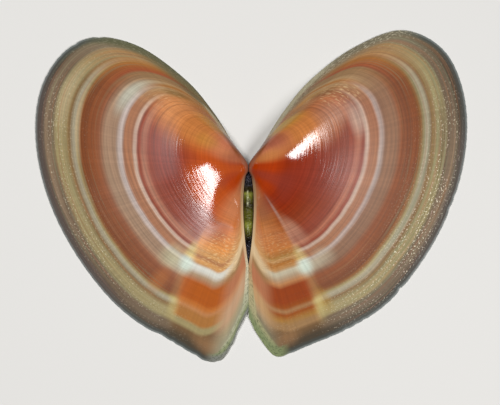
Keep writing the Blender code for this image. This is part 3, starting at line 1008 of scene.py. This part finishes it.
def ligament(material):
    """The horny band that joins the valves: low at its ends, arched and wrinkled between."""
    sheet = Sheet()
    angles = np.linspace(0.0, math.pi, LIGAMENT_SIDES)
    rows = []
    for along in np.linspace(0.0, 1.0, LIGAMENT_STATIONS):
        forward = -LENS_END * (LIGAMENT_FRONT + (LIGAMENT_BACK - LIGAMENT_FRONT) * along)
        out = (half_gap(forward) + LIGAMENT_OVERLAP) * np.cos(angles)
        height = ligament_top(along) - LIGAMENT_BOTTOM
        rise = LIGAMENT_BOTTOM + height * np.sin(angles) ** 0.75
        points = np.stack((out, np.full_like(out, forward), rise), 1)
        rows.append(sheet.add(points, np.full(len(points), along), np.degrees(angles)))
    for row, next_row in zip(rows, rows[1:]):
        sheet.join(next_row, row, closed=True)
    for row, flipped in ((rows[0], False), (rows[-1], True)):
        middle = np.vstack(sheet.points)[row].mean(axis=0)
        point = sheet.add(middle, [1.0 if flipped else 0.0], [90.0])[0]
        sheet.fan(row[::-1] if flipped else row, point, closed=True)
    return add_thing("ligament_band", sheet.mesh("ligament_band", 1.0, 0.0), (material,))


def add_camera():
    """The camera, straight above, framed as the photograph is."""
    data = bpy.data.cameras.new("camera")
    data.type = "PERSP"
    data.sensor_width = SENSOR
    data.lens = SENSOR * CAMERA_DISTANCE / (FRAME_PIXELS[0] * PIXEL * MM)
    data.clip_end = 10.0
    camera = bpy.data.objects.new("camera", data)
    across = (FRAME_PIXELS[0] / 2.0 - BEAKS_PIXEL[0]) * PIXEL
    down = (FRAME_PIXELS[1] / 2.0 - BEAKS_PIXEL[1]) * PIXEL
    camera.location = ((MIDDLE_X + across) * MM, (BEAK_Y - down) * MM, CAMERA_DISTANCE)
    bpy.context.collection.objects.link(camera)
    bpy.context.scene.camera = camera


def add_floor():
    """A plain pale floor."""
    paint = Paint("floor")
    paint.put(paint.shader.inputs["Base Color"], FLOOR_COLOUR)
    paint.put(paint.shader.inputs["Roughness"], FLOOR_ROUGHNESS)
    mesh = bpy.data.meshes.new("floor")
    signs = ((-1, -1), (1, -1), (1, 1), (-1, 1))
    corners = [(x * FLOOR_HALF, y * FLOOR_HALF, 0.0) for x, y in signs]
    mesh.from_pydata(corners, [], [(0, 1, 2, 3)])
    add_thing("floor", mesh, (paint.material,))


def add_softbox(name, target, towards, along, size, power):
    """A soft light that a place on the shell mirrors towards the camera."""
    data = bpy.data.lights.new(name, "AREA")
    data.shape = "RECTANGLE"
    data.size, data.size_y = size
    data.energy = power
    light = bpy.data.objects.new(name, data)
    back = Vector(towards).normalized()
    across = Vector(along)
    across = (across - back * across.dot(back)).normalized()
    turn = Matrix((across, back.cross(across), back)).transposed().to_4x4()
    light.matrix_world = Matrix.Translation(Vector(target) * MM + back * SOFTBOX_DISTANCE) @ turn
    bpy.context.collection.objects.link(light)


def add_light():
    """Plain soft studio light: an even sky and one softbox for each valve."""
    world = bpy.data.worlds.new("studio")
    world.use_nodes = True
    background = world.node_tree.nodes["Background"]
    background.inputs["Color"].default_value = (1.0, 1.0, 1.0, 1.0)
    background.inputs["Strength"].default_value = SKY_STRENGTH
    bpy.context.scene.world = world
    for name, softbox in SOFTBOXES.items():
        add_softbox(name, *softbox)
    bpy.context.scene.view_settings.view_transform = "Standard"


# What differs between the looks of the valves: the left one's, then the right one's
LOOKS = {
    "seed": (3.0, 8.0), "flank": (LEFT_FLANK, RIGHT_FLANK), "back": (LEFT_BACK, RIGHT_BACK),
    "slope_colours": (LEFT_SLOPE, RIGHT_SLOPE), "smudges": (LEFT_SMUDGES, RIGHT_SMUDGES),
    "ray": (47.3, 38.8), "ray_lean": (22.7, 14.5),
    "ray_levels": (
        (
            (0.42, 0.0), (0.49, 0.5), (0.54, 0.7), (0.6, 1.0), (0.65, 1.0), (0.7, 0.4),
            (0.76, 0.35), (0.82, 0.6), (0.94, 0.0),
        ),
        (
            (0.18, 0.0), (0.28, 0.6), (0.38, 0.7), (0.5, 0.5), (0.57, 0.6), (0.61, 1.0),
            (0.65, 1.0), (0.7, 0.5), (0.76, 0.45), (0.82, 0.7), (0.94, 0.0),
        ),
    ),
    "slope": (10.6, 9.8), "slope_in": (0.6, 1.8), "shift": (0.015, 0.002), "dull": (0.2, 0.0),
    "bend": ((17, 0.1), (15, 0.06)), "bulge": ((22, 78), (34, 92)),
    "deep_edge": ((36, 122, 0.65), (50, 106, 0.55)),
    "dorsal_end": ((0.76, 0.64), (1.1, 1.0)), "dorsal_turn": ((136, 146), (140, 144)),
    "front_strip": ("moss_deep", "moss_grey"), "front_growth": ((0.58, 0.72), (0.4, 0.62)),
    # Strengths of painted highlights: the front margin's sparkles, and the glint streaks at the
    # front and back
    "sparkle": (0.1, 0.5), "front_glitter": (0.3, 0.7), "back_glitter": (0.6, 0.3),
    "strip": (((0.7, 3.0), (0.86, 1.6), (0.94, 0.95)), ((0.7, 2.2), (0.85, 1.05), (0.93, 0.78))),
    "strip_colours": (
        (
            ("strip_pale", 0.82), ("strip_green", 0.89, 0.935), ("lichen", 0.96),
            ("grey", 0.98),
        ),
        (("slope_fawn", 0.7), ("strip_olive", 0.82, 0.91), ("lichen", 0.96)),
    ),
    "glitter": (
        ((0.12, 0.05), (0.28, 0.35), (0.45, 0.5), (0.7, 0.45), (0.8, 0.15)),
        ((0.12, 0.1), (0.28, 0.5), (0.42, 1.0), (0.62, 1.0), (0.7, 0.5), (0.78, 0.15)),
    ),
}


def main():
    """Builds the looks round the frame."""
    add_camera()
    add_floor()
    add_light()
    for place, (node, corners, chips, side) in enumerate((
        ("left_valve", LEFT_EDGE, LEFT_CHIPS, -1.0),
        ("right_valve", RIGHT_EDGE, RIGHT_CHIPS, 1.0),
    )):
        look = {key: pair[place] for key, pair in LOOKS.items()}
        name = node + "_shell"
        materials = (shell_material(name, look), inside_material(name + "_inside"))
        thing = valve(name, corners, chips, side, materials)
        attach(thing, "root")
        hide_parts(node)
    band = ligament(ligament_material())
    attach(band, "root")
    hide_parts("ligament")


main()
